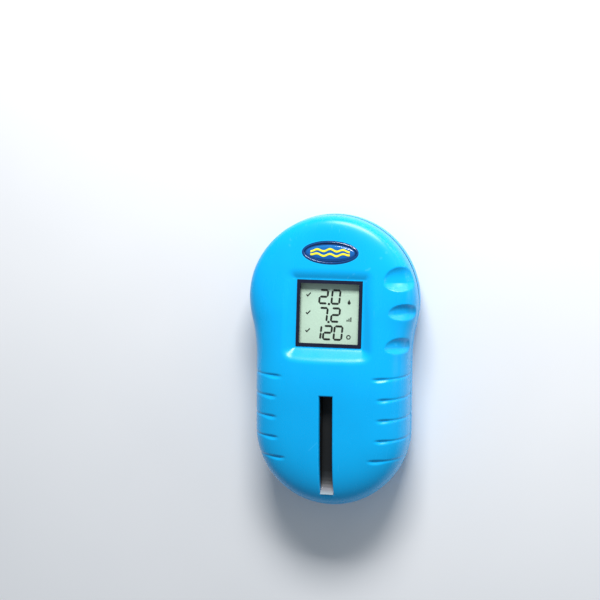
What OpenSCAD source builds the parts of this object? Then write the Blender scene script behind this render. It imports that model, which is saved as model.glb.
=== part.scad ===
// Handheld digital water tester: a strip reader with a domed two-shell casing,
// a square display, an oval push button and an open channel for a test strip.
// It lies on its flat back. X is to the right, Y towards the button end, Z out of the front.

/* [Body] */
// Length of the casing, button end to strip end
body_length = 115; // [112:0.5:118]
// Width across the upper lobe
body_width = 67; // [65:0.5:69]
// Width across the grip
grip_width = 61; // [60:0.5:62]
// Radius of the concave waist between lobe and grip
waist_radius = 60; // [45:5:75]
// Height of the rear shell, up to the parting line
rear_depth = 13; // [13:0.25:14]
// Height of the hump over the strip channel, above the parting line
hump_height = 18; // [17.5:0.25:18.5]
// Height of the front at the button end, above the parting line
brow_height = 10; // [9.5:0.25:10.5]
// Shell wall thickness
wall = 2; // [1.8:0.1:2.2]

/* [Display] */
// Distance of the display's centre from the middle of the casing
display_y = 19.75; // [19.5:0.25:20.25]
// Height of the display bezel's foot above the parting line
display_height = 12; // [11.75:0.25:12.25]
// Tilt of display and circuit board towards the button end, in degrees
display_tilt = 6; // [5.5:0.25:6.5]
// Outer side of the square black bezel
bezel_side = 26; // [25.5:0.25:26.5]
// Side of the square window opening
window_side = 23.4; // [23:0.2:23.6]

/* [Button] */
// Distance of the button's centre from the middle of the casing
button_y = 43.5; // [43:0.25:44]
// Length of the oval trim ring
oval_length = 22.8; // [22:0.2:23.4]
// Width of the oval trim ring
oval_width = 9.4; // [9:0.2:9.6]
// How far the button travels
button_travel = 0.5; // [0.3:0.1:0.6]

/* [Strip channel] */
// Width of the channel between its liner walls
channel_width = 5.3; // [5.1:0.1:5.5]
// Thickness of the liner walls
liner_wall = 0.55; // [0.5:0.05:0.6]

/* [Battery bay] */
// Diameter of a AAA cell
cell_diameter = 10.5; // [10.2:0.1:10.5]
// Length of a AAA cell with its nub
cell_length = 44.5; // [44:0.1:44.6]

/* [Grip] */
// Depth of the fine grip grooves
groove_depth = 0.7; // [0.4:0.1:0.9]
// Width of the fine grip grooves
groove_width = 1.3; // [1:0.1:1.6]
// Distance from one grip groove to the next
groove_pitch = 8.1; // [7.8:0.1:8.4]

/* [Hidden] */
$fn = 48;
fit = 0.05;            // gap between seated neighbours
slack = 0.15;          // gap round a part that comes out
through = 1;           // how far a cutting shape runs past a face

lobe_r = body_width / 2;
grip_r = grip_width / 2;
half_length = body_length / 2;
lobe_y = half_length - lobe_r;
grip_y = grip_r - half_length;
waist_x = grip_r + waist_radius;
waist_drop = sqrt(pow(lobe_r + waist_radius, 2) - pow(waist_x, 2));
waist_y = lobe_y - waist_drop;
waist_angle = atan2(waist_drop, waist_x);

hump_y = -15;          // where the crown is highest
heel_drop = 0.8;       // fall of the crown from the hump to the strip end
shoulder_reach = 30;   // inset at which the front has risen to its crown
shoulder_power = 3.4;  // how square the front shoulder is
back_reach = 10;       // inset at which the back has become flat
back_power = 2.6;
inner_drop = 2.2;      // crown height lost to the wall
floor_z = 2.2;         // inner face of the back

front_steps = [0, 0.0015, 0.008, 0.028, 0.065, 0.12, 0.2, 0.32, 0.48, 0.68, 0.93];
cavity_steps = [0, 0.006, 0.05, 0.13, 0.26, 0.48, 0.93];
back_steps = [0, 0.012, 0.06, 0.16, 0.32, 0.58, 1];

board_size = [30, 65, 1.6];
board_v = -3;          // board's centre along the tilted frame
board_top = -7.8;      // board's upper face below the bezel's foot
board_post = [12, 17.5];
board_post_r = 2;
board_hole_r = 1.2;
lcd_top = -2.7;        // upper face of the display glass
lcd_side = 25.6;
lcd_long = 28.6;
pane = 1;
scoop_foot = 13.4;     // half size of the dish's floor
well_size = [31, 34];
pocket = [26.6, 30.4];

button_tilt = 9;
button_lift = 10.35;   // button datum above the parting line
ring_width = 1.1;
cap_gap = 0.2;
collar = 2.4;          // wall of the button's collar

slot_top_y = -12;      // button-side end of the open slot
slot_end_y = -51.5;    // mouth, where the channel floor meets the outer surface
ramp_start_y = -43;
tunnel_end_y = 3;
tunnel_floor = 10.2;   // channel floor under the hump, above the parting line
ramp_foot = 10.9;
tray_floor = 1.2;
tunnel_roof = 12.4;
skin_drop = 2.2;       // how far the liner stays below the outer surface
sensor_y = [-9, -4.5, 0];
window_mid = -4.5;     // clear window in the tunnel floor, over the sensors
window_long = 13;

cell_gap = 0.7;
cell_axis_z = 7.6;
cell_x = (cell_diameter + cell_gap) / 2;
bay_half = 11.3;
bay_wall = 1.2;
bay_y = [-36.5, 14.5];
bay_roof = 13.1;       // inner face of the bay's roof
door_half = 14;
door_y = [-38, 16];
door_thick = 1.8;
door_inset = 0.15;     // door's outer face lies this far inside the back
hook_reach = 1.6;
hook_x = 8;
hook_width = 4;

case_screw_at = [[19.5, 34], [-19.5, 34], [18, -33.5], [-18, -33.5]];
screw_head_r = 2.3;
screw_shank_r = 1.25;
counterbore_r = 2.6;
tube_r = 3.4;
boss_r = 3.2;

groove_y = [for (i = [0:4]) -4.9 - i * groove_pitch];
groove_start = [17, 19, 19, 18.4, 15.6];
dent_y = [33, 19.4, 6.1];
dent_r = [8.4, 7.1, 6.1];     // radius of each dent across its length
dent_depth = [1.3, 1.1, 0.9];
dent_sweep = 18.3;            // radius of a dent's floor where it wraps the shoulder
dent_centre = [15.8, 18.15];  // from the side edge and down from the crown to the sweep's centre

sky = [0.02, 0.62, 0.90];
navy = [0.03, 0.08, 0.38];
black = [0.05, 0.05, 0.06];
steel = [0.75, 0.76, 0.78];

// ---- The casing's form ----

// Height of the crown above the parting line at a distance y along the casing
function crown(y) =
    y > hump_y
    ? hump_height - (hump_height - brow_height) * (1 - cos(180 * (y - hump_y) / (half_length - hump_y))) / 2
    : hump_height - heel_drop * pow((hump_y - y) / (half_length + hump_y), 2);

// Share of the full height reached at a share u of the reach, a superellipse
function rise(u, power) =
    u <= 0 ? 0 : u >= 1 ? 1 : pow(1 - pow(1 - u, power), 1 / power);

// Inset of a point from the outline, measured square to the outline
function inset_at(x, y) =
    y <= grip_y ? grip_r - norm([x, y - grip_y])
    : y <= waist_y ? grip_r - abs(x)
    : atan2(lobe_y - y, abs(x)) > waist_angle ? norm([waist_x - abs(x), y - waist_y]) - waist_radius
    : lobe_r - norm([x, y - lobe_y]);

// Half width of the casing at a distance y
function side_x(y) =
    y <= grip_y ? sqrt(grip_r * grip_r - pow(y - grip_y, 2))
    : y <= waist_y ? grip_r
    : y <= lobe_y - lobe_r * sin(waist_angle)
        ? waist_x - sqrt(waist_radius * waist_radius - pow(y - waist_y, 2))
    : sqrt(lobe_r * lobe_r - pow(y - lobe_y, 2));

// Height of the outer front surface at a point
function front_z(x, y) =
    rear_depth + crown(y) * rise(inset_at(x, y) / shoulder_reach, shoulder_power);

// Points on an arc, without its last point
function arc(centre, r, from, to, steps) =
    [for (i = [0:steps - 1]) let (a = from + (to - from) * i / steps) centre + r * [cos(a), sin(a)]];

// Right half of the outline at an inset, from the button end round to the strip end
function half_outline(inset) = concat(
    arc([0, lobe_y], lobe_r - inset, 90, -waist_angle, 18),
    arc([waist_x, waist_y], waist_radius + inset, 180 - waist_angle, 180, 5),
    [for (i = [0:4]) [grip_r - inset, waist_y + (grip_y - waist_y) * i / 5]],
    arc([0, grip_y], grip_r - inset, 0, -90, 14),
    [[0, grip_y - grip_r + inset]]
);

// The whole outline at an inset, clockwise from the button end
function outline(inset) = let (half = half_outline(inset), m = len(half) - 1)
    concat(half, [for (i = [m - 1:-1:1]) [-half[i][0], half[i][1]]]);

// Skin over rings of equal length. The first ring is flat, the last one is flat or crowned along Y.
module skin(rings, flip) {
    n = len(rings[0]);
    m = n / 2;
    last = (len(rings) - 1) * n;
    sides = [
        for (r = [0:len(rings) - 2], i = [0:n - 1])
            let (a = r * n + i, b = r * n + (i + 1) % n)
                each [[a, b, b + n], [a, b + n, a + n]]
    ];
    foot = [[for (i = [n - 1:-1:0]) i]];
    cap = concat(
        [[last, last + 1, last + n - 1]],
        [for (i = [1:m - 2]) [last + i, last + i + 1, last + n - i - 1, last + n - i]],
        [[last + m - 1, last + m, last + m + 1]]
    );
    faces = concat(foot, sides, cap);
    points = [for (ring = rings) each ring];
    polyhedron(points, flip ? [for (f = faces) [for (i = [len(f) - 1:-1:0]) f[i]]] : faces);
}

// Solid of the front, from a skirt below the parting line up to the crown
module front_form(inset, drop, steps, skirt) {
    reach = shoulder_reach - inset;
    rings = concat(
        skirt > 0 ? [[for (p = outline(inset)) [p[0], p[1], rear_depth - skirt]]] : [],
        [
            for (u = steps)
                [for (p = outline(inset + u * reach))
                    [p[0], p[1], rear_depth + (crown(p[1]) - drop) * rise(u, shoulder_power)]]
        ]
    );
    skin(rings, false);
}

// Solid of the back, from above the parting line down to its flat face
module rear_form(inset, foot, steps, skirt) {
    reach = back_reach - inset;
    depth = rear_depth - foot;
    rings = concat(
        skirt > 0 ? [[for (p = outline(inset)) [p[0], p[1], rear_depth + skirt]]] : [],
        [
            for (u = steps)
                [for (p = outline(inset + u * reach))
                    [p[0], p[1], rear_depth - depth * rise(u, back_power)]]
        ]
    );
    skin(rings, true);
}

// ---- Placing and shaping helpers ----

// The tilted frame of display and board: origin at the centre of the bezel's foot
module chassis() {
    translate([0, display_y, rear_depth + display_height]) rotate([-display_tilt, 0, 0]) children();
}

// The button's frame: origin at the ring's seat on the surface
module button_place() {
    translate([0, button_y, rear_depth + button_lift]) rotate([-button_tilt, 0, 0]) children();
}

// A side profile in Y and Z, as thick as width across X
module across(width, x = 0) {
    translate([x - width / 2, 0, 0]) rotate([90, 0, 90]) linear_extrude(width) children();
}

// A box between two heights, centred on X and Y
module slab(size, low, high, r = 0) {
    translate([0, 0, low]) linear_extrude(high - low) rounded(size, r);
}

module rounded(size, r) {
    if (r > 0) {
        for (a = [-1, 1]) for (b = [-1, 1])
            translate([a * (size[0] / 2 - r), b * (size[1] / 2 - r)]) circle(r, $fn = 24);
        square([size[0] - 2 * r, size[1]], center = true);
        square([size[0], size[1] - 2 * r], center = true);
    } else {
        square(size, center = true);
    }
}

function ellipse(a, b, steps = 48) =
    [for (i = [0:steps - 1]) [a * cos(360 * i / steps), b * sin(360 * i / steps)]];

module oval(length, width, low, high) {
    translate([0, 0, low]) linear_extrude(high - low) polygon(ellipse(length / 2, width / 2));
}

// ---- Shells ----

// Height of the channel floor above the parting line
function channel_floor(y) =
    y >= slot_top_y + 2 ? tunnel_floor
    : y >= ramp_start_y
        ? tunnel_floor + (ramp_foot - tunnel_floor) * (slot_top_y + 2 - y) / (slot_top_y + 2 - ramp_start_y)
    : ramp_foot + (front_z(0, slot_end_y) - rear_depth - ramp_foot)
        * pow((ramp_start_y - y) / (ramp_start_y - slot_end_y), 1.7);

ramp_y = [for (i = [0:7]) ramp_start_y + (slot_end_y - ramp_start_y) * i / 7];
liner_end_y = -49.4;
liner_y = [for (i = [0:11]) slot_top_y + (liner_end_y - slot_top_y) * i / 11];

// Cross-section of a groove cutter: everything outside the sunk surface at y
module groove_section(y, start) {
    count = 14;
    edge = side_x(y);
    polygon(concat(
        [for (i = [0:count])
            let (
                u = i / count,
                x = start + (edge - start) * (1 - pow(1 - u, 3)),
                depth = groove_depth * min(1, u * 4)
            )
            [x - (u > 0.7 ? depth * (u - 0.7) / 0.3 : 0),
                front_z(x, y) - depth * (u > 0.85 ? 0.4 : 1) + (i == 0 ? 0.05 : 0)]],
        [[edge + 4, rear_depth + 0.5], [edge + 4, rear_depth + 22], [start, rear_depth + 22]]
    ));
}

module grip_grooves() {
    for (i = [0:4]) for (side = [0, 1]) mirror([side, 0, 0])
        translate([0, groove_y[i] + groove_width / 2, 0]) rotate([90, 0, 0])
            linear_extrude(groove_width) groove_section(groove_y[i], groove_start[i]);
}

// Three dents for the fingers, wrapped round the right shoulder of the lobe
module finger_dents() {
    for (i = [0:2])
        translate([
            side_x(dent_y[i]) - dent_centre[0], dent_y[i], rear_depth + crown(dent_y[i]) - dent_centre[1]
        ])
            rotate([90, 0, 0]) rotate(12) rotate_extrude(angle = 68, $fn = 72)
                translate([dent_sweep + 1.3 - dent_depth[i] + dent_r[i], 0]) circle(dent_r[i], $fn = 60);
}

// Corner points of a squarish superellipse
function squircle(a, b, steps = 64) = [
    for (i = [0:steps - 1]) let (c = cos(360 * i / steps), s = sin(360 * i / steps))
        [a * sign(c) * pow(abs(c), 0.2), b * sign(s) * pow(abs(s), 0.2)]
];

// The shallow dish that the display sits in
module scoop() {
    chassis() hull() {
        linear_extrude(0.1) polygon(squircle(scoop_foot, scoop_foot));
        translate([0, 0, 7]) linear_extrude(0.1) polygon(squircle(scoop_foot + 12, scoop_foot + 10));
    }
}

module case_bosses() {
    for (p = case_screw_at) translate([p[0], p[1], rear_depth - through]) cylinder(h = 22, r = boss_r);
}

module board_posts() {
    chassis() for (a = [-1, 1]) for (b = [-1, 1])
        translate([a * board_post[0], b * board_post[1], board_top + fit]) cylinder(h = 20, r = board_post_r);
}

module front_shell() {
    color(sky) difference() {
        front_form(0, 0, front_steps, 0);
        difference() {
            front_form(wall, inner_drop, cavity_steps, through);
            case_bosses();
            board_posts();
            chassis() slab(well_size, -4.9, 20);
            button_place() oval(oval_length + 2 * collar, oval_width + 2 * collar, -4.2, 20);
        }
        scoop();
        chassis() slab([bezel_side + 2 * fit, bezel_side + 2 * fit], -2.6, 3, 0.6);
        chassis() slab(pocket, -12, -2.6);
        button_place() oval(oval_length + 2 * fit, oval_width + 2 * fit, -12, 4);
        translate([0, (slot_top_y + slot_end_y) / 2, rear_depth])
            slab([channel_width, slot_top_y - slot_end_y + 2 * fit], 4, 30);
        across(channel_width + 2 * (liner_wall + fit)) offset(delta = fit) liner_side();
        translate([0, window_mid, rear_depth]) slab([9.2, 18.2], 4, 13.9);
        for (p = case_screw_at)
            translate([p[0], p[1], rear_depth - through]) cylinder(h = 8, r = screw_shank_r + fit);
        chassis() for (a = [-1, 1]) for (b = [-1, 1])
            translate([a * board_post[0], b * board_post[1], board_top - through]) cylinder(h = 4.6, r = 0.8);
        gasket_ring(0.55, 1.45, rear_depth - through, rear_depth + 0.25);
        finger_dents();
        grip_grooves();
    }
}

// A ring that follows the outline, between two insets
module gasket_ring(outer, inner, low, high) {
    translate([0, 0, low]) linear_extrude(high - low) difference() {
        polygon(outline(outer));
        polygon(outline(inner));
    }
}

module rear_shell() {
    pad = [2 * door_half + 5, door_y[1] - door_y[0] + 6.5];
    door_mid = (door_y[0] + door_y[1]) / 2;
    bay_mid = (bay_y[0] + bay_y[1]) / 2;
    bay_long = bay_y[1] - bay_y[0];
    bay_outer = [2 * (bay_half + bay_wall), bay_long + 2 * bay_wall];
    color(sky) difference() {
        union() {
            rear_form(0, 0, back_steps, 0);
            translate([0, bay_mid, 0]) slab(bay_outer, 10, bay_roof + bay_wall);
        }
        difference() {
            rear_form(wall, floor_z, back_steps, through);
            for (p = case_screw_at) translate([p[0], p[1], 0]) cylinder(h = rear_depth, r = tube_r);
            translate([0, door_mid, 0]) slab(pad, 0, 3.3);
            translate([0, bay_mid, 0]) slab(bay_outer, 0, bay_roof + bay_wall);
        }
        translate([0, bay_mid, 0]) slab([2 * bay_half, bay_long], -through, bay_roof);
        translate([0, door_mid, 0])
            slab([2 * (door_half + slack), door_y[1] - door_y[0] + 2 * slack], -through, door_thick + slack, 2);
        for (side = [-1, 1]) translate([side * hook_x, door_y[1], 0])
            translate([0, 1, 0]) slab([hook_width + 0.6, hook_reach + 2.2], 0.8, 2.5);
        for (p = case_screw_at) {
            translate([p[0], p[1], -through]) cylinder(h = rear_depth + 3, r = screw_shank_r + 0.2);
            translate([p[0], p[1], -through]) cylinder(h = 3 + through, r = counterbore_r);
        }
        for (x = [-cell_x, cell_x]) for (y = bay_y)
            translate([x, y, bay_roof]) slab([2.4, 2.4], -2, 2);
        translate([0, 33, 0]) slab([24.4, 16.4], -through, 0.3, 1.2);
        gasket_ring(0.55, 1.45, rear_depth - 0.75, rear_depth + through);
    }
}

module battery_door() {
    door_long = door_y[1] - door_y[0];
    door_mid = (door_y[0] + door_y[1]) / 2;
    color(sky) difference() {
        union() {
            translate([0, door_mid, 0]) slab([2 * door_half, door_long], door_inset, door_thick, 2);
            for (side = [-1, 1]) translate([side * hook_x, door_y[1] + hook_reach / 2 - 0.5, 0])
                slab([hook_width, hook_reach + 1], 0.95, door_thick);
            for (x = [-cell_x, 0, cell_x])
                translate([x, door_mid, 0]) slab([1.2, door_long - 12], door_thick - 0.1, door_thick + 0.25);
        }
        // finger hollow over the latch
        translate([0, door_y[0] + 5.5, -9.3]) rotate([0, 90, 0]) cylinder(h = 14, r = 10.2, center = true);
        // slits that free the latch tongue
        for (side = [-1, 1]) translate([side * 4.5, door_y[0] + 3, 0]) slab([0.8, 8], -through, 4);
    }
}

module shell_gasket() {
    color([0.15, 0.16, 0.18]) gasket_ring(0.6, 1.4, rear_depth - 0.7, rear_depth + 0.2);
}

// ---- Display ----

module display_frame() {
    color(black) chassis() difference() {
        slab([bezel_side, bezel_side], -2.55, 0.3, 0.5);
        slab([window_side, window_side], -3, 1, 0.2);
        slab([window_side + 1.3, window_side + 1.3], -3, -1.15);
    }
}

module display_window() {
    color([0.85, 0.92, 0.95, 0.3]) chassis() slab([window_side + 1.2, window_side + 1.2], -2.45, -1.2, 0.3);
}

module lcd_glass() {
    color([0.62, 0.70, 0.60]) chassis() {
        slab([lcd_side, lcd_long], lcd_top - pane, lcd_top);
        slab([lcd_side, lcd_long - 4], lcd_top - 2 * pane, lcd_top - pane);
    }
}

// One bar of a seven-segment digit, with pointed ends
module bar(from, to, thick) {
    run = to - from;
    long = norm(run);
    along = run / long;
    square_to = [-along[1], along[0]] * thick / 2;
    tip = along * thick / 2;
    polygon([
        from, from + tip + square_to, to - tip + square_to, to, to - tip - square_to, from + tip - square_to
    ]);
}

// Seven-segment digit, as a list of lit bars a to g
module digit(bars, w = 3.1, h = 5.2, thick = 0.8) {
    gap = 0.06;
    slant = 0.09;
    function at(x, y) = [x * w / 2 + y * h / 2 * slant, y * h / 2];
    ends = [
        [at(-1, 1), at(1, 1)], [at(1, 1), at(1, 0)], [at(1, 0), at(1, -1)], [at(-1, -1), at(1, -1)],
        [at(-1, 0), at(-1, -1)], [at(-1, 1), at(-1, 0)], [at(-1, 0), at(1, 0)]
    ];
    for (i = bars) {
        step = (ends[i][1] - ends[i][0]) / norm(ends[i][1] - ends[i][0]);
        bar(ends[i][0] + step * gap, ends[i][1] - step * gap, thick);
    }
}

module lcd_segments() {
    zero = [0, 1, 2, 3, 4, 5];
    one = [1, 2];
    two = [0, 1, 6, 4, 3];
    seven = [0, 1, 2];
    readings = [
        [[-2.9, 6.5], two], [[2, 6.5], zero], [[-2.9, -0.5], seven], [[2, -0.5], two],
        [[-5.2, -7.5], one], [[-1, -7.5], two], [[3.2, -7.5], zero]
    ];
    color([0.06, 0.07, 0.07]) chassis() translate([0, 0, lcd_top]) linear_extrude(0.06) {
        for (r = readings) translate(r[0]) digit(r[1]);
        for (y = [3.7, -3.3]) translate([-0.7, y]) square(0.85, center = true);
    }
}

module lcd_reflector() {
    color([0.8, 0.82, 0.8]) chassis()
        slab([lcd_side - 0.4, lcd_long - 4.4], lcd_top - 2 * pane - 0.25, lcd_top - 2 * pane);
}

module lcd_holder() {
    low = board_top;
    high = lcd_top - 2 * pane - 0.25;
    color([0.92, 0.92, 0.9]) chassis() difference() {
        slab([lcd_side - 0.2, lcd_long - 4.6], low, high);
        slab([lcd_side - 5, lcd_long - 9], low - through, high + through);
    }
}

module zebra_connectors() {
    color([0.85, 0.55, 0.6]) chassis() for (side = [-1, 1])
        translate([0, side * (lcd_long / 2 - 1), 0]) slab([lcd_side - 1.6, 1.6], board_top, lcd_top - pane);
}

// ---- Circuit board ----

module main_board() {
    color([0.05, 0.35, 0.18]) chassis() difference() {
        translate([0, board_v, 0])
            slab([board_size[0], board_size[1]], board_top - board_size[2], board_top, 4);
        for (a = [-1, 1]) for (b = [-1, 1])
            translate([a * board_post[0], b * board_post[1], board_top - 3]) cylinder(h = 5, r = board_hole_r);
    }
}

module processor_chip() {
    under = board_top - board_size[2];
    color(black) chassis() translate([0, 12, 0]) slab([9, 9], under - 1.4, under - 0.15, 0.3);
}

module chip_leads() {
    color(steel) chassis() translate([0, 12, board_top - board_size[2] - 0.5])
        for (turn = [0:90:270]) rotate(turn) for (i = [-4:4])
            translate([i * 0.8 - 0.15, 4.5, 0]) cube([0.3, 1.1, 0.5]);
}

module board_components() {
    low = board_top;
    parts = [
        [[9, -21], [2, 1.2, 0.8]], [[9, -24], [2, 1.2, 0.8]], [[9, -27], [3.2, 1.6, 1]],
        [[-9, -21], [2, 1.2, 0.8]], [[-9, -24], [2, 1.2, 0.8]], [[-9, -28], [3, 3, 1.4]],
        [[9, 20], [3.2, 1.6, 1.1]], [[-8, 21], [2, 1.2, 0.8]], [[-8, 24], [2, 1.2, 0.8]]
    ];
    color([0.72, 0.6, 0.42]) chassis() for (p = parts)
        translate([p[0][0], p[0][1], 0]) slab([p[1][0], p[1][1]], low, low + p[1][2]);
}

module crystal_can() {
    color(steel) chassis() translate([9, 12, board_top - board_size[2] - 2.4]) {
        translate([-1.8, 0, 0]) cylinder(h = 2.4, r = 1.6);
        translate([1.8, 0, 0]) cylinder(h = 2.4, r = 1.6);
        translate([-1.8, -1.6, 0]) cube([3.6, 3.2, 2.4]);
    }
}

switch_v = 23.4;
switch_high = 3.2;
plunger_top = board_top + switch_high + 0.3 + button_travel;

module tact_switch() {
    color([0.18, 0.18, 0.2]) chassis() translate([0, switch_v, 0]) difference() {
        slab([6, 6], board_top, board_top + switch_high, 0.3);
        translate([0, 0, board_top + 2]) cylinder(h = 3, r = 1.9);
    }
}

module switch_plunger() {
    color([0.7, 0.1, 0.08]) chassis() translate([0, switch_v, plunger_top - 1.3]) cylinder(h = 1.3, r = 1.6);
}

// ---- Push button ----

module badge_ring() {
    color(navy) button_place() difference() {
        union() {
            oval(oval_length, oval_width, -2, 0.35);
            oval(oval_length - 0.5, oval_width - 0.5, 0.3, 0.6);
        }
        oval(oval_length - 2 * ring_width, oval_width - 2 * ring_width, -3, 2);
    }
}

cap_length = oval_length - 2 * ring_width - 2 * cap_gap;
cap_width = oval_width - 2 * ring_width - 2 * cap_gap;

module button_cap() {
    color(navy) {
        button_place() {
            oval(cap_length, cap_width, -2.2, 0.1);
            oval(oval_length - 0.7, oval_width - 0.7, -3, -2.15);
        }
        intersection() {
            button_place() translate([0, 0, -8]) cylinder(h = 5.5, r = 1.5);
            chassis() translate([0, switch_v, plunger_top + fit]) cylinder(h = 8, r = 6);
        }
    }
}

module badge_plate() {
    color([0.10, 0.32, 0.70]) button_place() {
        oval(cap_length - 1, cap_width - 1, 0.1, 0.3);
        oval(cap_length - 1.6, cap_width - 1.6, 0.25, 0.45);
    }
}

module badge_waves() {
    half = 7.8;
    count = 48;
    function wave(x, row) = (row + 0.45 * cos(360 * x / 5.2)) * sqrt(1 - pow(x / 9.6, 2));
    color([0.95, 0.92, 0.25]) button_place() for (row = [-0.95, 0.95])
        translate([0, 0, 0.45]) linear_extrude(0.12) polygon(concat(
            [for (i = [0:count]) let (x = -half + 2 * half * i / count) [x, wave(x, row) - 0.38]],
            [for (i = [count:-1:0]) let (x = -half + 2 * half * i / count) [x, wave(x, row) + 0.38]]
        ));
}

module button_boot() {
    color([0.55, 0.56, 0.58]) button_place() difference() {
        translate([0, 0, -4.0]) cylinder(h = 1, r = 3);
        translate([0, 0, -5]) cylinder(h = 3, r = 2);
    }
}

// ---- Strip channel and optics ----

// Side profile of the liner's box: under the skin of the front, and low over the sensors
module liner_side() {
    floor_ys = concat([tunnel_end_y + 1.2, slot_top_y + 2], liner_y);
    polygon(concat(
        [for (y = floor_ys) [y, rear_depth + channel_floor(y) - tray_floor]],
        [for (i = [len(liner_y) - 1:-1:0]) [liner_y[i], front_z(0, liner_y[i]) - skin_drop]],
        [[slot_top_y, rear_depth + tunnel_roof], [tunnel_end_y + 1.2, rear_depth + tunnel_roof]]
    ));
}

module strip_tray() {
    lift = rear_depth;
    color(black) difference() {
        union() {
            across(channel_width + 2 * liner_wall) liner_side();
            across(channel_width - 2 * fit) polygon(concat(
                [for (y = ramp_y) [y, lift + channel_floor(y) - tray_floor]],
                [for (i = [len(ramp_y) - 1:-1:0]) [ramp_y[i], lift + channel_floor(ramp_y[i])]]
            ));
        }
        across(channel_width) polygon(concat(
            [for (y = concat([tunnel_end_y, slot_top_y + 2], ramp_y)) [y, lift + channel_floor(y)]],
            [[slot_end_y - 3, lift + channel_floor(slot_end_y) + 0.1], [slot_end_y - 3, lift + 22]],
            [[slot_top_y - liner_wall, lift + 22], [slot_top_y - liner_wall, lift + 13]],
            [[tunnel_end_y, lift + 13]]
        ));
        translate([0, window_mid, lift + tunnel_floor]) slab([4.2, window_long], -0.5, 1);
        translate([0, window_mid, lift + tunnel_floor]) slab([3.4, window_long - 1.6], -3, 1);
    }
}

module strip_ramp() {
    color([0.60, 0.60, 0.62]) across(channel_width - 2 * fit) polygon(concat(
        [for (y = ramp_y) [y, rear_depth + channel_floor(y)]],
        [for (i = [7:-1:0]) [ramp_y[i], rear_depth + channel_floor(ramp_y[i]) + (i == 0 ? 0.05 : 0.25)]]
    ));
}

module strip_cover() {
    low = rear_depth + tunnel_roof;
    mid = (slot_top_y + tunnel_end_y) / 2 + 0.6;
    long = tunnel_end_y - slot_top_y + 1.2;
    color(black) {
        translate([0, mid, 0]) slab([8.6, long - 0.3], low, low + 1.2);
        for (side = [-1, 1]) translate([side * 3.85, mid, 0]) slab([0.9, long - 4], low - 1.6, low + 0.1);
    }
}

module strip_spring() {
    thick = 0.2;
    function dip(y) = rear_depth + 12.2 - 1.15 * pow(cos(90 * y / 7), 2);
    ys = [for (i = [-7:7]) i];
    color(steel) translate([0, window_mid, 0]) across(3.2) polygon(concat(
        [for (y = ys) [y, dip(y)]],
        [for (i = [14:-1:0]) [ys[i], dip(ys[i]) + thick]]
    ));
}

// Height of the board's upper face at a distance y along the casing
function board_z(y) =
    rear_depth + display_height + board_top / cos(display_tilt) + (display_y - y) * tan(display_tilt);

module optics_block() {
    top = rear_depth + tunnel_floor - tray_floor;
    color(black) difference() {
        across(9) polygon([
            [-11.5, board_z(-11.5) + 0.02], [4.6, board_z(4.6) + 0.02], [4.6, top], [-11.5, top]
        ]);
        for (y = sensor_y) translate([0, y, 0]) slab([4.6, 2.8], 10, 30);
    }
}

module optics_window() {
    color([0.8, 0.9, 0.95, 0.35]) translate([0, window_mid, rear_depth + tunnel_floor])
        slab([4.1, window_long - 0.1], -0.45, -0.02);
}

module on_board_under_strip(x, size) {
    for (y = sensor_y) chassis()
        translate([x, (y - display_y) / cos(display_tilt) - board_top * tan(display_tilt), 0])
            slab(size, board_top, board_top + 0.6);
}

module sensor_leds() { color([0.95, 0.95, 0.8]) on_board_under_strip(-1.2, [1.2, 1]); }

module photo_sensors() { color([0.2, 0.15, 0.25]) on_board_under_strip(1.1, [1.6, 1.2]); }

// ---- Battery bay ----

// A cell with its nub towards +Y
module cell() {
    nub = 1.2;
    rotate([-90, 0, 0]) {
        cylinder(h = cell_length - nub, r = cell_diameter / 2);
        cylinder(h = cell_length, r = 1.9);
    }
}

cell_start = bay_y[0] + 1.2;
spring_room = bay_y[1] - bay_y[0] - cell_length - 2.4;

module battery_cell_left() {
    color([0.2, 0.2, 0.22]) translate([-cell_x, cell_start + spring_room, cell_axis_z]) cell();
}

module battery_cell_right() {
    color([0.2, 0.2, 0.22]) translate([cell_x, bay_y[1] - 1.2 - spring_room, cell_axis_z])
        rotate([0, 0, 180]) cell();
}

// Wire wound into a cone from r0 to r1 over a height, along +Z
module cone_spring(r0, r1, height, turns, wire) {
    rings = turns * 14;
    around = 8;
    points = [
        for (i = [0:rings], k = [0:around - 1])
            let (
                share = i / rings,
                turn = 360 * turns * share,
                r = r0 + (r1 - r0) * share + wire / 2 * cos(360 * k / around)
            )
            [r * cos(turn), r * sin(turn),
                wire / 2 + (height - wire) * share + wire / 2 * sin(360 * k / around)]
    ];
    sides = [
        for (i = [0:rings - 1], k = [0:around - 1])
            let (a = i * around + k, b = i * around + (k + 1) % around)
                each [[a, b + around, b], [a, a + around, b + around]]
    ];
    polyhedron(points, concat(
        [[for (k = [0:around - 1]) k]], sides, [[for (k = [around - 1:-1:0]) rings * around + k]]
    ));
}

module battery_springs() {
    seat = 0.72;
    color(steel) {
        translate([-cell_x, bay_y[0] + seat, cell_axis_z]) rotate([-90, 0, 0])
            cone_spring(3.6, 2.2, cell_start + spring_room - bay_y[0] - seat - 0.02, 3, 0.6);
        translate([cell_x, bay_y[1] - seat, cell_axis_z]) rotate([90, 0, 0])
            cone_spring(3.6, 2.2, cell_start + spring_room - bay_y[0] - seat - 0.02, 3, 0.6);
    }
}

module contact_plate(width, y, x) {
    translate([x, y, cell_axis_z]) cube([width, 0.4, 8.4], center = true);
}

module battery_contacts() {
    near = bay_y[0] + 0.5;
    far = bay_y[1] - 0.5;
    color(steel) {
        contact_plate(21, near, 0);
        for (x = [-cell_x, cell_x]) {
            contact_plate(8.6, far, x);
            translate([x, far, (cell_axis_z + bay_roof + 2.2) / 2])
                cube([1.6, 0.4, bay_roof + 2.2 - cell_axis_z], center = true);
        }
    }
}

// ---- Fasteners and label ----

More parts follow.
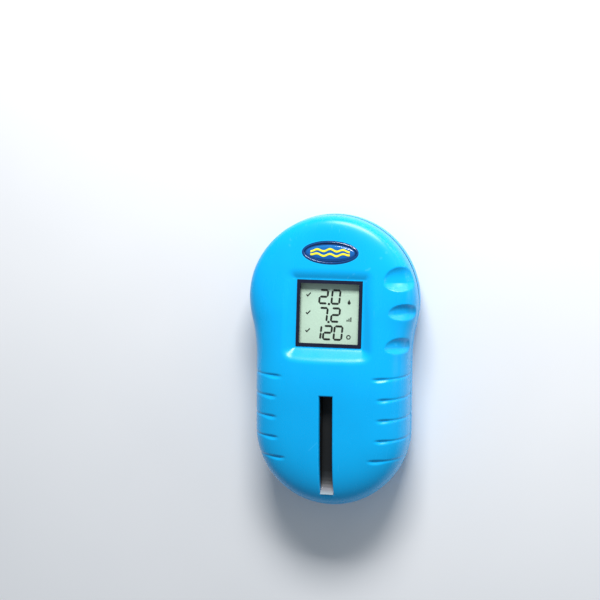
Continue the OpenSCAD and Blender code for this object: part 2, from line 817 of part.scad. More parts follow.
// A pan-head screw with its head down at z = 0, cross recess in the head
module screw(head_r, head_h, shank_r, length) {
    difference() {
        union() {
            cylinder(h = head_h, r = head_r);
            cylinder(h = length, r = shank_r);
        }
        for (turn = [0, 90]) rotate(turn) translate([0, 0, 0.3]) cube([head_r * 1.1, 0.5, 1.4], center = true);
    }
}

module case_screws() {
    color(steel) for (p = case_screw_at)
        translate([p[0], p[1], 1.35]) screw(screw_head_r, 1.6, screw_shank_r, 17);
}

module board_screws() {
    color(steel) chassis() for (a = [-1, 1]) for (b = [-1, 1])
        translate([a * board_post[0], b * board_post[1], board_top - board_size[2] - 1.25])
            screw(1.7, 1.2, 0.75, 5.6);
}

module rating_label() {
    color([0.85, 0.87, 0.88]) translate([0, 33, 0]) slab([24, 16], 0.12, 0.3, 1);
}

front_shell();
rear_shell();
battery_door();
shell_gasket();
display_frame();
display_window();
lcd_glass();
lcd_segments();
lcd_reflector();
lcd_holder();
zebra_connectors();
main_board();
processor_chip();
chip_leads();
board_components();
crystal_can();
tact_switch();
switch_plunger();
button_boot();
badge_ring();
button_cap();
badge_plate();
badge_waves();
strip_tray();
strip_ramp();
strip_cover();
strip_spring();
optics_block();
optics_window();
sensor_leds();
photo_sensors();
battery_cell_left();
battery_cell_right();
battery_springs();
battery_contacts();
case_screws();
board_screws();
rating_label();
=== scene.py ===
import math
import bpy
import bmesh
import numpy as np
from mathutils import Vector, Matrix
from mathutils.geometry import delaunay_2d_cdt


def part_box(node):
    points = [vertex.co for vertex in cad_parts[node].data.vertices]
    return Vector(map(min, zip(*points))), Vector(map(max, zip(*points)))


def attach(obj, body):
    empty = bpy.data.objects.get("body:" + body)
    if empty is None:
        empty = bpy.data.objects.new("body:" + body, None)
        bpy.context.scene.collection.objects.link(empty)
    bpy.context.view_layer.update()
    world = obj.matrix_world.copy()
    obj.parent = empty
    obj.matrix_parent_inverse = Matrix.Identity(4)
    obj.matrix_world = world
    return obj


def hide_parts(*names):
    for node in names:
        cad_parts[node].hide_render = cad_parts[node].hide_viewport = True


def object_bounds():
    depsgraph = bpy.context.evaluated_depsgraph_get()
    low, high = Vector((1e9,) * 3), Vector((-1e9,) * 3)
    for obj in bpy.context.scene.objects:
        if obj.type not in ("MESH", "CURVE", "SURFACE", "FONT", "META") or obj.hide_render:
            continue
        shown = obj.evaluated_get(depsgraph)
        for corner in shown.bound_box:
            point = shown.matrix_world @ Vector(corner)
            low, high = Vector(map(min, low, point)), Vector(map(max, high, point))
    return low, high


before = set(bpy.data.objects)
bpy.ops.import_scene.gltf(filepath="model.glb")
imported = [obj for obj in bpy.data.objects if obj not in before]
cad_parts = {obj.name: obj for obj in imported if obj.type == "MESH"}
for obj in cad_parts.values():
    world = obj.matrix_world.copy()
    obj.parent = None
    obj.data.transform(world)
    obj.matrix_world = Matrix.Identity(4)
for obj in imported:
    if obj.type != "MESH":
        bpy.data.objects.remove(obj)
CAD_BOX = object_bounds()
MM = 0.001

# ---------------------------------------------------------------- the casing's form, in millimetres
front_lo, front_hi = (Vector(c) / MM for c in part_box("front_shell"))
HALF_LENGTH = front_hi.y
LOBE_R = front_hi.x
PART_Z = front_lo.z
GRIP_R = 30.5
WAIST_R = 60.0
SHOULDER_REACH, SHOULDER_POWER, BROW_POWER = 30.0, 3.4, 6.0
BACK_REACH, BACK_POWER = 10.0, 2.6
HUMP, BROW, HUMP_Y, HEEL_DROP = 18.0, 10.0, -15.0, 0.8
LOBE_Y = HALF_LENGTH - LOBE_R
GRIP_Y = GRIP_R - HALF_LENGTH
WAIST_X = GRIP_R + WAIST_R
WAIST_DROP = math.sqrt((LOBE_R + WAIST_R) ** 2 - WAIST_X ** 2)
WAIST_Y = LOBE_Y - WAIST_DROP
WAIST_ANGLE = math.atan2(WAIST_DROP, WAIST_X)

# tilted frames of the display and of the button: middle along the casing, height over the parting line
DISPLAY_TILT, BUTTON_TILT = math.radians(6), math.radians(9)
DISPLAY_Y, DISPLAY_RISE = 19.75, 12
BUTTON_Y, BUTTON_RISE = 43.5, 10.35
frame_lo, frame_hi = (Vector(c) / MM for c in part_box("display_frame"))
ring_lo, ring_hi = (Vector(c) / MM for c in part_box("badge_ring"))
BEZEL_HALF = (frame_hi.x - frame_lo.x) / 2
DISPLAY = (Matrix.Translation((0, DISPLAY_Y, PART_Z + DISPLAY_RISE))
           @ Matrix.Rotation(-DISPLAY_TILT, 4, "X"))
BUTTON = Matrix.Translation((0, BUTTON_Y, PART_Z + BUTTON_RISE)) @ Matrix.Rotation(-BUTTON_TILT, 4, "X")
OVAL_A, OVAL_B = (ring_hi.x - ring_lo.x) / 2, 4.7    # half length and half width of the ring
FACE_Z = PART_Z + 5          # every opening of the front is above this height
BETWEEN_Y = 34               # between the display's opening and the button's

# strip slot: half width, its two ends, radius of its rolled edge
SLOT_HALF = 2.65
SLOT_TOP, SLOT_END = -12.0, -51.55
LIP = 0.55

# grip grooves: place along the casing, and distance from its middle where each starts
GROOVE_Y = [-4.9 - 8.1 * i for i in range(5)]
GROOVE_START = [17, 19, 19, 18.4, 15.6]
# finger dents: (across, along) of the crease, half width, reach up and down from it, depth
DENTS = [((26.0, 32.7), 6.6, 6.0, 3.5, 1.85),
         ((27.5, 20.4), 6.2, 3.9, 2.4, 1.6),
         ((25.8, 6.95), 5.9, 4.2, 2.0, 1.35)]
AZIMUTH = math.radians(12.7)  # of the camera; the dents' outlines are drawn square to it

STEP = 0.34                   # spacing of the casing's mesh
SEAM = 0.3                    # depth of the V at the parting line
WALL = 1.6                    # thickness of the shells' walls at their edges
SCOOP_FOOT = 13.35            # half size of the floor of the dish round the display


def crown(y):
    up = HUMP - (HUMP - BROW) * (1 - np.cos(np.pi * (y - HUMP_Y) / (HALF_LENGTH - HUMP_Y))) / 2
    down = HUMP - HEEL_DROP * ((HUMP_Y - y) / (HALF_LENGTH + HUMP_Y)) ** 2
    return np.where(y > HUMP_Y, up, down)


def ease(t):
    t = np.clip(t, 0, 1)
    return t * t * (3 - 2 * t)


def rise(u, power):
    u = np.clip(u, 0, 1)
    return (1 - (1 - u) ** power) ** (1 / power)


def front_rise(u, y):
    """The shoulder is squarer towards the button end."""
    t = ease((y - 14) / 26)
    return rise(u, SHOULDER_POWER) * (1 - t) + rise(u, BROW_POWER) * t


def side_x(y):
    y = np.asarray(y, float)
    grip = np.sqrt(np.maximum(GRIP_R ** 2 - (y - GRIP_Y) ** 2, 0))
    waist = WAIST_X - np.sqrt(np.maximum(WAIST_R ** 2 - (y - WAIST_Y) ** 2, 0))
    lobe = np.sqrt(np.maximum(LOBE_R ** 2 - (y - LOBE_Y) ** 2, 0))
    x = np.where(y <= GRIP_Y, grip, np.where(y <= WAIST_Y, GRIP_R, waist))
    return np.where(y > LOBE_Y - LOBE_R * math.sin(WAIST_ANGLE), lobe, x)


def inset_at(x, y):
    ax = np.abs(x)
    grip = GRIP_R - np.hypot(ax, y - GRIP_Y)
    straight = GRIP_R - ax
    waist = np.hypot(WAIST_X - ax, y - WAIST_Y) - WAIST_R
    lobe = LOBE_R - np.hypot(ax, y - LOBE_Y)
    upper = np.where(np.arctan2(LOBE_Y - y, ax) > WAIST_ANGLE, waist, lobe)
    return np.where(y <= GRIP_Y, grip, np.where(y <= WAIST_Y, straight, upper))


def front_z(x, y):
    return PART_Z + crown(y) * front_rise(inset_at(x, y) / SHOULDER_REACH, y)


def half_outline(inset):
    """Right half of the outline, from the button end to the strip end, both on the centre line."""
    lobe_n = int(LOBE_R * (math.pi / 2 + WAIST_ANGLE) / STEP)
    waist_n = int(WAIST_R * WAIST_ANGLE / STEP)
    line_n = int((WAIST_Y - GRIP_Y) / STEP)
    grip_n = int(GRIP_R * math.pi / 2 / STEP)
    a = math.pi / 2 - (math.pi / 2 + WAIST_ANGLE) * np.arange(lobe_n) / lobe_n
    b = math.pi - WAIST_ANGLE + WAIST_ANGLE * np.arange(waist_n) / waist_n
    c = WAIST_Y + (GRIP_Y - WAIST_Y) * np.arange(line_n) / line_n
    d = -math.pi / 2 * np.arange(grip_n + 1) / grip_n
    x = np.concatenate([(LOBE_R - inset) * np.cos(a), WAIST_X + (WAIST_R + inset) * np.cos(b),
                        np.full(line_n, GRIP_R - inset), (GRIP_R - inset) * np.cos(d)])
    y = np.concatenate([LOBE_Y + (LOBE_R - inset) * np.sin(a), WAIST_Y + (WAIST_R + inset) * np.sin(b),
                        c, GRIP_Y + (GRIP_R - inset) * np.sin(d)])
    x[0] = x[-1] = 0
    return x, y


def ring_points(inset):
    x, y = half_outline(inset)
    return np.concatenate([x, -x[-2:0:-1]]), np.concatenate([y, y[-2:0:-1]])


def even_steps(reach, height, power, last, spacing):
    """Insets whose points on the profile are evenly spaced."""
    phi = np.linspace(0, math.pi / 2, 6000)
    d = reach * (1 - np.cos(phi) ** (2 / power))
    h = height * np.sin(phi) ** (2 / power)
    keep = d <= last
    d, h = d[keep], h[keep]
    s = np.concatenate([[0], np.cumsum(np.hypot(np.diff(d), np.diff(h)))])
    n = int(s[-1] / spacing)
    out = np.interp(np.linspace(0, s[-1], n + 1), s, d)
    out[-1] = last
    return out


def smooth_min(a, b, k):
    h = np.clip(0.5 + 0.5 * (b - a) / k, 0, 1)
    return b * (1 - h) + a * h - k * h * (1 - h)


def grid_normals(p):
    along = np.gradient(p, axis=0)
    around = np.roll(p, -1, axis=1) - np.roll(p, 1, axis=1)
    n = np.cross(around, along)
    n /= np.maximum(np.linalg.norm(n, axis=2, keepdims=True), 1e-9)
    return n


def dent_depth(p):
    """Depth of the finger dents: hollows that each end in a steep, lens-shaped wall at the strip side."""
    across = p[..., 0] * math.cos(AZIMUTH) - (p[..., 2] - PART_Z - 5) * math.sin(AZIMUTH)
    out = np.zeros_like(across)
    for (middle, crease), half, up, down, depth in DENTS:
        below = np.maximum(0, PART_Z + 8 - p[..., 2]) / 4.2
        width = np.clip(1 - ((across - middle) / half) ** 2 - below ** 2, 1e-4, 1)
        lens = width ** 0.5
        dy = p[..., 1] - crease
        w = np.where(dy > 0, dy / (up * lens), -dy / (down * lens))
        hollow = np.where(dy > 0, 1 - w ** 3.4, 1 - w ** 1.25)
        dish = depth * lens ** 1.6 * hollow
        dish = (dish + np.sqrt(dish ** 2 + 0.06 ** 2)) / 2
        here = (w < 1.5) & (p[..., 0] > 10) & (width > 2e-4)
        out += np.where(here, dish, 0) * np.clip((1.5 - w) / 0.3, 0, 1) * np.clip(width / 0.06, 0, 1)
    return out


def groove_depth(p):
    x, y, z = np.abs(p[..., 0]), p[..., 1], p[..., 2]
    out = np.zeros_like(x)
    for gy, start in zip(GROOVE_Y, GROOVE_START):
        edge = float(side_x(gy))
        run = (x - start) / (edge - start)
        tear = ease(1 - np.abs(run - 0.30) / 0.42)
        fade = ease((x - start) / 3.2)
        low = np.clip((z - PART_Z - 0.5) / 3.0, 0, 1)
        half = 0.72 + 0.45 * tear
        depth = (0.26 + 0.40 * tear) * fade * (0.35 + 0.65 * low)
        off = y - gy - 1.0 * np.clip(run - 0.2, 0, 1) ** 1.5
        # steeper on the button side, rolled out on the strip side
        w = np.where(off > 0, off / (half * 0.8), -off / (half * 1.25))
        shape = np.where(w < 1, (1 + np.cos(np.pi * np.clip(w, 0, 1))) / 2, 0)
        out = np.maximum(out, depth * shape)
    return out


def scoop_z(x, y, z):
    """The shallow dish round the display, as a height over the display's tilted plane."""
    t = DISPLAY_TILT
    dy = y - DISPLAY.translation.y
    plane = DISPLAY.translation.z - dy * math.tan(t)
    v = dy / math.cos(t)
    side = 0.6 * np.maximum(0, np.abs(x) - SCOOP_FOOT)
    ends = np.where(v > 0, 0.62, 0.68) * np.maximum(0, np.abs(v) - SCOOP_FOOT)
    out = (side ** 2.4 + ends ** 2.4) ** (1 / 2.4)
    bowl = plane + np.sqrt(out ** 2 + 0.3 ** 2) - 0.3
    return smooth_min(z, bowl, 1.1 + 0.2 * np.tanh(v / 5))


def slot_gap(x, y):
    dx = np.abs(x) - SLOT_HALF
    dy = np.maximum(y - SLOT_TOP, SLOT_END - y)
    corner = np.hypot(np.maximum(dx, 0), np.maximum(dy, 0))
    return np.where((dx > 0) & (dy > 0), corner, np.maximum(dx, dy))


# ---------------------------------------------------------------- mesh helpers

def new_object(name, verts, faces, *args, **kw):
    """An object from points in millimetres; the other arguments go to finish_object."""
    mesh = bpy.data.meshes.new(name)
    mesh.from_pydata([tuple(float(c) * MM for c in v) for v in verts], [],
                     [tuple(int(i) for i in f) for f in faces])
    mesh.validate()
    mesh.update()
    obj = bpy.data.objects.new(name, mesh)
    bpy.context.scene.collection.objects.link(obj)
    finish_object(obj, *args, **kw)
    return obj


def finish_object(obj, body, node=None, slot=None, material=None, smooth=True):
    """Shading and finish, the body it rides on, and the CAD node that it replaces."""
    if smooth:
        obj.data.polygons.foreach_set("use_smooth", [True] * len(obj.data.polygons))
        obj.data.set_sharp_from_angle(angle=math.radians(40))
    if material:
        obj.data.materials.clear()
        obj.data.materials.append(material)
    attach(obj, body)
    if node:
        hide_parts(node)


def filled_bmesh(verts, faces):
    """A bmesh of these points and faces; a face that is given twice is made once."""
    bm = bmesh.new()
    made = [bm.verts.new(v) for v in verts]
    for f in faces:
        try:
            bm.faces.new([made[i] for i in f])
        except ValueError:
            pass
    return bm


def from_bmesh(name, bm, *args, **kw):
    """As new_object, from a bmesh in millimetres."""
    for v in bm.verts:
        v.co *= MM
    bm.normal_update()
    mesh = bpy.data.meshes.new(name)
    bm.to_mesh(mesh)
    bm.free()
    mesh.update()
    obj = bpy.data.objects.new(name, mesh)
    bpy.context.scene.collection.objects.link(obj)
    finish_object(obj, *args, **kw)
    return obj


def grid_faces(rows, cols, flip=False):
    out = []
    for r in range(rows - 1):
        for i in range(cols):
            j = (i + 1) % cols
            f = (r * cols + i, r * cols + j, (r + 1) * cols + j, (r + 1) * cols + i)
            out.append(f[::-1] if flip else f)
    return out


# ---------------------------------------------------------------- materials

class Nodes:
    def __init__(self, name):
        self.mat = bpy.data.materials.new(name)
        self.mat.use_nodes = True
        self.tree = self.mat.node_tree
        self.tree.nodes.clear()
        self.out = self.add("ShaderNodeOutputMaterial")
        self.bsdf = self.add("ShaderNodeBsdfPrincipled")
        self.tree.links.new(self.bsdf.outputs[0], self.out.inputs[0])
        self.coord = self.add("ShaderNodeTexCoord")

    def add(self, kind, **props):
        n = self.tree.nodes.new(kind)
        for k, v in props.items():
            setattr(n, k, v)
        return n

    def link(self, a, b):
        self.tree.links.new(a, b)

    def noise(self, scale, detail=3.0, rough=0.55, stretch=None):
        n = self.add("ShaderNodeTexNoise")
        n.inputs["Scale"].default_value = scale
        n.inputs["Detail"].default_value = detail
        n.inputs["Roughness"].default_value = rough
        if stretch:
            m = self.add("ShaderNodeMapping")
            m.inputs["Scale"].default_value = stretch
            self.link(self.coord.outputs["Object"], m.inputs["Vector"])
            self.link(m.outputs["Vector"], n.inputs["Vector"])
        else:
            self.link(self.coord.outputs["Object"], n.inputs["Vector"])
        return n.outputs["Fac"]

    def along(self, low, high):
        """0 to 1 between two places along the casing, in metres."""
        sep = self.add("ShaderNodeSeparateXYZ")
        self.link(self.coord.outputs["Object"], sep.inputs[0])
        return self.span(sep.outputs["Y"], 0.0, 1.0, low, high)

    def ramp(self, fac, stops):
        r = self.add("ShaderNodeValToRGB")
        els = r.color_ramp.elements
        while len(els) < len(stops):
            els.new(0.5)
        for e, (pos, col) in zip(els, stops):
            e.position = pos
            e.color = (*col, 1)
        self.link(fac, r.inputs["Fac"])
        return r.outputs["Color"]

    def span(self, fac, low, high, from_low=0.3, from_high=0.7):
        m = self.add("ShaderNodeMapRange")
        m.inputs["From Min"].default_value = from_low
        m.inputs["From Max"].default_value = from_high
        m.inputs["To Min"].default_value = low
        m.inputs["To Max"].default_value = high
        self.link(fac, m.inputs["Value"])
        return m.outputs["Result"]

    def mix(self, fac, a, b):
        m = self.add("ShaderNodeMix", data_type="RGBA")
        self.link(fac, m.inputs[0])
        for socket, value in ((m.inputs[6], a), (m.inputs[7], b)):
            if isinstance(value, tuple):
                socket.default_value = (*value, 1)
            else:
                self.link(value, socket)
        return m.outputs[2]

    def bump(self, heights):
        """Bumps from (height socket, strength, distance), chained."""
        last = None
        for socket, strength, distance in heights:
            b = self.add("ShaderNodeBump")
            b.inputs["Strength"].default_value = strength
            b.inputs["Distance"].default_value = distance
            self.link(socket, b.inputs["Height"])
            if last:
                self.link(last, b.inputs["Normal"])
            last = b.outputs["Normal"]
        self.link(last, self.bsdf.inputs["Normal"])

    def set(self, **values):
        """Sets the shader's sockets, each to a number or from another node."""
        for k, v in values.items():
            socket = self.bsdf.inputs[k.replace("_", " ")]
            if isinstance(v, (int, float)):
                socket.default_value = v
            else:
                self.link(v, socket)


def plastic(name, base, dark, rough, grain=0.12, coat=0.0, wear=None, spec=0.5):
    """Moulded plastic or rubber: clouded colour, smeared gloss, fine grain, and wear if it is asked for."""
    m = Nodes(name)
    cloud = m.noise(38, 4)
    fine = m.noise(1600, 2)
    colour = m.mix(m.span(cloud, 0.0, 1.0, 0.35, 0.68), dark, base)
    smear = m.noise(120, 5, 0.6, (1, 0.35, 1))
    roughness = m.span(smear, rough[0], rough[1], 0.3, 0.72)
    if wear:
        # handled edges go paler, and fine scuffs run along the casing
        edge = m.add("ShaderNodeNewGeometry").outputs["Pointiness"]
        colour = m.mix(m.span(edge, 0.0, 0.35, 0.525, 0.60), colour, wear)
        scuff = m.span(m.noise(700, 2, 0.5, (1, 0.03, 1)), 0.0, 1.0, 0.70, 0.76)
        patch = m.span(m.noise(26, 2), 0.0, 1.0, 0.52, 0.66)
        both = m.add("ShaderNodeMath", operation="MULTIPLY")
        m.link(scuff, both.inputs[0])
        m.link(patch, both.inputs[1])
        colour = m.mix(m.span(both.outputs[0], 0.0, 0.22, 0.0, 1.0), colour, wear)
        worn = m.add("ShaderNodeMath", operation="MULTIPLY_ADD")
        worn.inputs[1].default_value = 0.18
        m.link(both.outputs[0], worn.inputs[0])
        m.link(roughness, worn.inputs[2])
        roughness = worn.outputs[0]
    m.set(Base_Color=colour, Roughness=roughness)
    m.bsdf.inputs["IOR"].default_value = 1.5
    m.bsdf.inputs["Specular IOR Level"].default_value = spec
    if coat:
        m.bsdf.inputs["Coat Weight"].default_value = coat
        m.bsdf.inputs["Coat Roughness"].default_value = 0.08
    m.bump([(fine, grain, 0.00004), (m.noise(240, 2), 0.05, 0.0002)])
    return m.mat


def metal(name, base, dark):
    m = Nodes(name)
    brushed = m.noise(900, 3, 0.6, (1, 1, 14))
    colour = m.mix(m.span(m.noise(260, 4), 0, 1), dark, base)
    m.set(Base_Color=colour, Metallic=1.0, Roughness=m.span(brushed, 0.22, 0.4))
    m.bump([(brushed, 0.15, 0.00003)])
    return m.mat


BLUE = plastic("casing_blue", (0.000, 0.430, 0.880), (0.000, 0.400, 0.840), (0.22, 0.32), spec=0.36,
               wear=(0.05, 0.53, 0.93))
NAVY = plastic("badge_navy", (0.001, 0.048, 0.195), (0.001, 0.036, 0.15), (0.14, 0.24), 0.04, coat=0.5)
FRAME_BLACK = plastic("frame_black", (0.006, 0.008, 0.030), (0.004, 0.005, 0.020), (0.24, 0.36), 0.08)
TRAY_BLACK = plastic("tray_black", (0.006, 0.0075, 0.0085), (0.004, 0.005, 0.006), (0.5, 0.65), 0.25)
CHIP_BLACK = plastic("chip_black", (0.02, 0.02, 0.022), (0.012, 0.012, 0.014), (0.5, 0.65), 0.3)
RUBBER = plastic("rubber_dark", (0.03, 0.03, 0.033), (0.02, 0.02, 0.022), (0.6, 0.75), 0.3)
WHITE = plastic("white_plastic", (0.74, 0.74, 0.70), (0.66, 0.66, 0.62), (0.4, 0.5))
ZEBRA = plastic("zebra_rubber", (0.62, 0.28, 0.32), (0.50, 0.20, 0.24), (0.5, 0.62))
RED = plastic("plunger_red", (0.40, 0.02, 0.015), (0.30, 0.012, 0.01), (0.3, 0.4))
TAN = plastic("component_tan", (0.36, 0.24, 0.12), (0.25, 0.16, 0.08), (0.5, 0.6))
YELLOW = plastic("wave_yellow", (0.86, 0.80, 0.03), (0.80, 0.72, 0.02), (0.25, 0.32), 0.03)
STEEL = metal("spring_steel", (0.62, 0.63, 0.65), (0.48, 0.49, 0.51))
TIN = metal("tinned_metal", (0.66, 0.65, 0.62), (0.52, 0.51, 0.48))
PURPLE = plastic("sensor_purple", (0.02, 0.01, 0.03), (0.012, 0.006, 0.02), (0.1, 0.2), 0.03)


def board_material():
    m = Nodes("board_green")
    brick = m.add("ShaderNodeTexBrick")
    brick.inputs["Scale"].default_value = 260
    brick.inputs["Mortar Size"].default_value = 0.035
    brick.offset = 0.37
    brick.inputs["Color1"].default_value = (0.006, 0.10, 0.035, 1)
    brick.inputs["Color2"].default_value = (0.005, 0.085, 0.03, 1)
    brick.inputs["Mortar"].default_value = (0.02, 0.19, 0.07, 1)
    m.link(m.coord.outputs["Object"], brick.inputs["Vector"])
    m.set(Base_Color=brick.outputs["Color"], Roughness=m.span(m.noise(300, 3), 0.22, 0.36))
    m.bump([(brick.outputs["Fac"], 0.2, 0.00004)])
    return m.mat


def label_material():
    m = Nodes("label_film")
    fibre = m.noise(1500, 4, 0.6, (1, 0.2, 1))
    m.set(Base_Color=m.mix(m.span(m.noise(90, 3), 0, 1), (0.60, 0.62, 0.64), (0.68, 0.70, 0.71)),
          Roughness=m.span(fibre, 0.35, 0.5))
    m.bump([(fibre, 0.1, 0.00002)])
    return m.mat


def lcd_material():
    """Grey-green glass with a fine mottle."""
    m = Nodes("lcd_glass")
    cell = m.noise(2600, 1)
    base = m.mix(m.span(m.noise(70, 3), 0, 1), (0.50, 0.645, 0.53), (0.55, 0.70, 0.58))
    base = m.mix(m.span(cell, 0.0, 0.12), base, (0.44, 0.57, 0.46))
    m.set(Base_Color=base, Roughness=m.span(m.noise(400, 2), 0.34, 0.42))
    m.bsdf.inputs["Specular IOR Level"].default_value = 0.3
    m.bump([(cell, 0.05, 0.00002)])
    return m.mat


def segment_material():
    m = Nodes("segment_ink")
    m.set(Base_Color=m.mix(m.span(m.noise(900, 2), 0, 1), (0.006, 0.009, 0.006), (0.014, 0.018, 0.012)),
          Roughness=m.span(m.noise(600, 2), 0.35, 0.45))
    return m.mat


def film_material():
    m = Nodes("reflector_film")
    grain = m.noise(3000, 2)
    m.set(Base_Color=m.mix(m.span(grain, 0, 1), (0.50, 0.52, 0.47), (0.60, 0.62, 0.57)), Metallic=0.4,
          Roughness=m.span(m.noise(400, 2), 0.35, 0.45))
    m.bump([(grain, 0.2, 0.00002)])
    return m.mat


def clear_material(name, tint):
    """A clear pane: mostly see-through, with the gloss of its surface."""
    m = Nodes(name)
    m.tree.nodes.remove(m.bsdf)
    clear = m.add("ShaderNodeBsdfTransparent")
    clear.inputs[0].default_value = (*tint, 1)
    gloss = m.add("ShaderNodeBsdfGlossy")
    gloss.inputs["Color"].default_value = (1, 1, 1, 1)
    m.link(m.span(m.noise(220, 4), 0.02, 0.09), gloss.inputs["Roughness"])
    facing = m.add("ShaderNodeLayerWeight")
    steep = m.add("ShaderNodeMath", operation="POWER")
    steep.inputs[1].default_value = 4.5
    m.link(facing.outputs["Facing"], steep.inputs[0])
    share = m.add("ShaderNodeMath", operation="MULTIPLY_ADD")
    share.inputs[1].default_value = 0.85
    share.inputs[2].default_value = 0.012
    m.link(steep.outputs[0], share.inputs[0])
    mix = m.add("ShaderNodeMixShader")
    m.link(share.outputs[0], mix.inputs[0])
    m.link(clear.outputs[0], mix.inputs[1])
    m.link(gloss.outputs[0], mix.inputs[2])
    m.link(mix.outputs[0], m.out.inputs[0])
    return m.mat


def ramp_painted_light_material():
    """Polished insert with painted light: a painted reflection makes it pale towards the mouth of the
    channel, and painted shade darkens it deeper in.
    """
    m = Nodes("ramp_grey")
    along = m.along(SLOT_END * MM, -43.2 * MM)
    grain = m.noise(500, 3, 0.6, (0.3, 2, 1))
    # painted reflection near the mouth of the channel, fading into painted shade deeper in
    painted_light = m.ramp(along, [(0.0, (0.20, 0.30, 0.36)), (0.22, (0.15, 0.15, 0.18)),
                           (0.42, (0.07, 0.07, 0.075)), (0.62, (0.028, 0.03, 0.032)),
                           (1.0, (0.007, 0.009, 0.010))])
    m.set(Base_Color=m.mix(m.span(grain, 0.0, 0.25), painted_light, (0.02, 0.02, 0.022)),
          Roughness=m.span(grain, 0.22, 0.4))
    m.bump([(grain, 0.08, 0.00003)])
    return m.mat


def badge_blue_painted_highlight_material():
    """Clear-coated blue film with fine flakes, and a painted highlight that makes it paler towards the
    button end.
    """
    m = Nodes("badge_blue")
    # painted highlight: the film grows paler towards the button end, where the light falls
    painted_light = m.ramp(m.along(40.5 * MM, 47.5 * MM),
                   [(0.0, (0.003, 0.085, 0.34)), (0.55, (0.004, 0.105, 0.38)), (1.0, (0.01, 0.20, 0.52))])
    flake = m.noise(2400, 2)
    m.set(Base_Color=m.mix(m.span(flake, 0.0, 0.15), painted_light, (0.01, 0.18, 0.50)),
          Roughness=m.span(flake, 0.16, 0.24))
    m.bsdf.inputs["Coat Weight"].default_value = 0.6
    m.bsdf.inputs["Coat Roughness"].default_value = 0.05
    m.bsdf.inputs["Specular IOR Level"].default_value = 0.25
    m.bump([(m.noise(500, 2), 0.03, 0.00005)])
    return m.mat


def cell_material(name, node, positive):
    """Plain shrink sleeve: dark, with a warm metallic band at the positive end and bare metal at both.

    positive is 1 where the positive end points to the button end of the casing, and -1 where it doesn't.
    """
    m = Nodes(name)
    lo, hi = (Vector(c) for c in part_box(node))
    along = m.along(lo.y, hi.y) if positive > 0 else m.along(hi.y, lo.y)
    fine = m.noise(700, 3, 0.5, (1, 6, 1))
    dark = m.mix(m.span(fine, 0, 1), (0.012, 0.014, 0.018), (0.022, 0.025, 0.032))
    off, on = (0, 0, 0), (1, 1, 1)
    band = m.ramp(along, [(0.0, off), (0.70, off), (0.703, on), (1.0, on)])
    bare = m.ramp(along, [(0.0, on), (0.018, on), (0.022, off), (0.962, off), (0.966, on)])
    colour = m.mix(band, dark, (0.42, 0.24, 0.09))
    m.set(Base_Color=m.mix(bare, colour, (0.62, 0.61, 0.58)), Roughness=m.span(fine, 0.2, 0.32),
          Metallic=m.span(bare, 0.25, 1.0, 0.0, 1.0))
    m.bsdf.inputs["Coat Weight"].default_value = 0.4
    m.bump([(fine, 0.05, 0.00003)])
    return m.mat


BOARD, LABEL, LCD = board_material(), label_material(), lcd_material()
SEGMENT, FILM = segment_material(), film_material()
CLEAR = clear_material("clear_window", (0.99, 1.0, 0.995))
# the ramp's material carries a painted reflection and painted shade, and the badge film's a painted
# highlight
RAMP_PAINTED_LIGHT, BADGE_BLUE_PAINTED_HIGHLIGHT = ramp_painted_light_material(), badge_blue_painted_highlight_material()
CELL_LEFT = cell_material("cell_jacket_left", "battery_cell_left", 1)
CELL_RIGHT = cell_material("cell_jacket_right", "battery_cell_right", -1)
LENS = clear_material("led_lens", (0.9, 0.9, 0.75))


# ---------------------------------------------------------------- front shell

